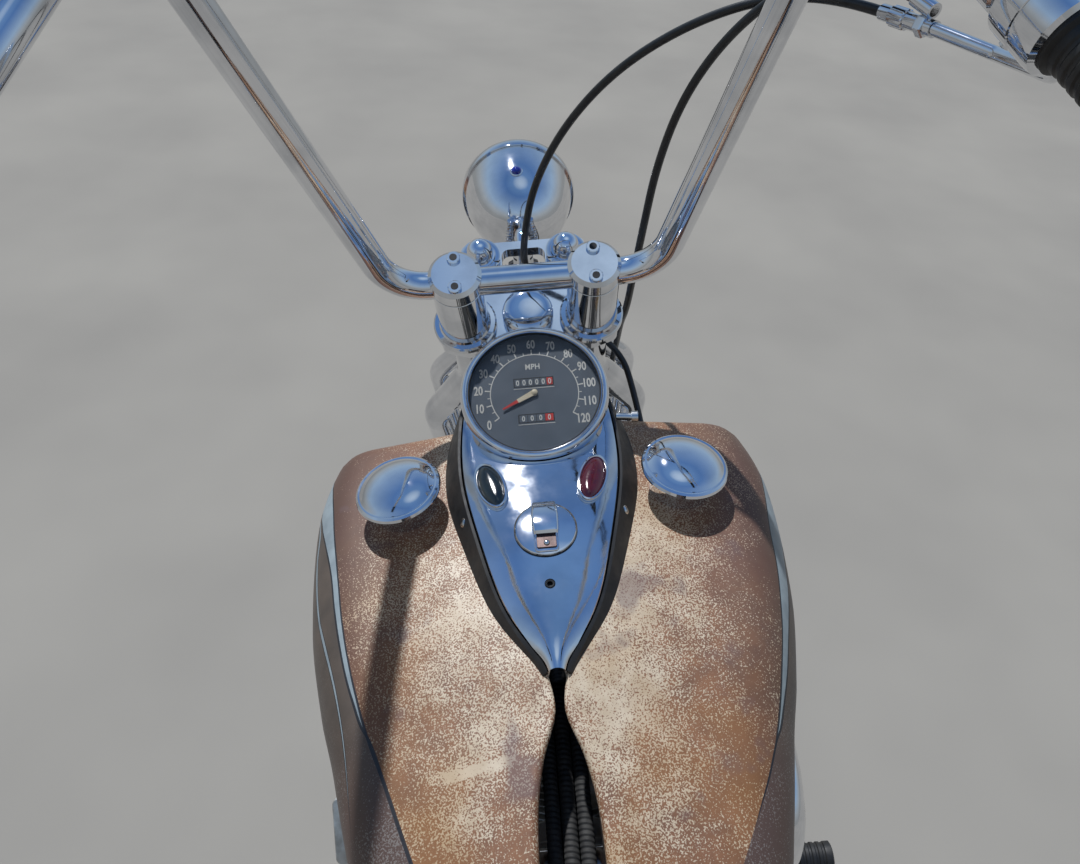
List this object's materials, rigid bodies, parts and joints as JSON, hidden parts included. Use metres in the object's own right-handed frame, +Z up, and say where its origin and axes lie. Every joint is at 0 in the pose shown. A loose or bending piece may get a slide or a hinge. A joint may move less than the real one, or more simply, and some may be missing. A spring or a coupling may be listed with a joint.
{
  "type": "chopper motorcycle",
  "caption": "Rigid-frame chopper motorcycle with a leading-link spring fork, high pulled-back handlebars, split fuel tanks with a teardrop dash and spoked wheels, leaning on its side stand.",
  "frame": {"origin": "centre of the bounding box, on the ground under the motorcycle", "axes": "+X forward along the wheelbase, +Y to the rider's left, +Z up"},
  "size_m": [2.258, 0.7588, 1.3282],
  "materials": {
    "cast_alloy": "cast alloy, satin",
    "chrome": "polished chrome",
    "clear_glass": "clear glass",
    "dial": "black dial in a chrome bezel",
    "frame_black": "gloss black enamel",
    "leather": "worn dark leather",
    "polished_alloy": "polished alloy",
    "red_lens": "red lens in a chrome housing",
    "rubber": "black rubber",
    "steel": "bare steel",
    "tank_paint": "worn pale grey paint with rust showing through",
    "tyre": "black rubber with tread"
  },
  "bodies": {
    "frame": {"air_cleaner": "chrome", "brake_pedal": "chrome", "cam_cover": "polished_alloy", "carburettor": "cast_alloy", "clutch_pedal": "chrome", "crankcase": "cast_alloy", "dash": "chrome", "dash_trim": "rubber", "drive_chain": "steel", "exhaust_front": "chrome", "exhaust_rear": "chrome", "foot_pegs": "rubber", "frame_tubes": "frame_black", "front_bank": "cast_alloy", "fuel_cap_left": "chrome", "fuel_cap_right": "chrome", "fuel_tank_left": "tank_paint", "fuel_tank_right": "tank_paint", "gearbox": "cast_alloy", "hand_shift": "chrome", "ignition_switch": "chrome", "kick_lever": "chrome", "meter_glass": "clear_glass", "oil_tank": "frame_black", "primary_cover": "polished_alloy", "rear_axle": "chrome", "rear_bank": "cast_alloy", "rear_fender": "frame_black", "saddle": "leather", "saddle_pan": "steel", "speedometer": "dial", "tail_lamp": "red_lens", "warning_lamps": "red_lens", "wiring_loom": "rubber"},
    "steering": {"top_tree": "chrome", "risers": "chrome", "handlebar": "chrome", "grip_left": "rubber", "grip_right": "rubber", "brake_lever": "chrome", "rear_legs": "chrome", "front_legs": "chrome", "fork_springs": "chrome", "fork_links": "chrome", "brake_plate": "chrome", "lamp_shell": "chrome", "lamp_lens": "clear_glass", "lamp_bracket": "chrome", "brake_cable": "rubber", "throttle_cable": "rubber"},
    "front_wheel": {"front_tyre": "tyre", "front_rim": "chrome"},
    "rear_wheel": {"rear_tyre": "tyre", "rear_rim": "chrome"},
    "side_stand": {"side_stand": "steel"}
  },
  "joints": [
    {"name": "steering", "type": "hinge", "parent": "frame", "child": "steering", "pos_m": [0.3936, 0.01856, 0.8923], "axis": [-0.5, 0.1055, 0.8596], "range_deg": [-25, 25], "deforming": ["throttle_cable"]},
    {"name": "front_wheel", "type": "hinge", "parent": "steering", "child": "front_wheel", "pos_m": [0.78051, -0.04849, 0.34625], "axis": [0, 0.9925, -0.1219], "continuous": true},
    {"name": "rear_wheel", "type": "hinge", "parent": "frame", "child": "rear_wheel", "pos_m": [-0.7864, -0.05133, 0.32306], "axis": [0, 0.9925, -0.1219], "continuous": true},
    {"name": "side_stand", "type": "hinge", "parent": "frame", "child": "side_stand", "pos_m": [0.1096, 0.05612, 0.10687], "axis": [0.0356, 0.4873, 0.8725], "range_deg": [0, 110]}
  ]
}
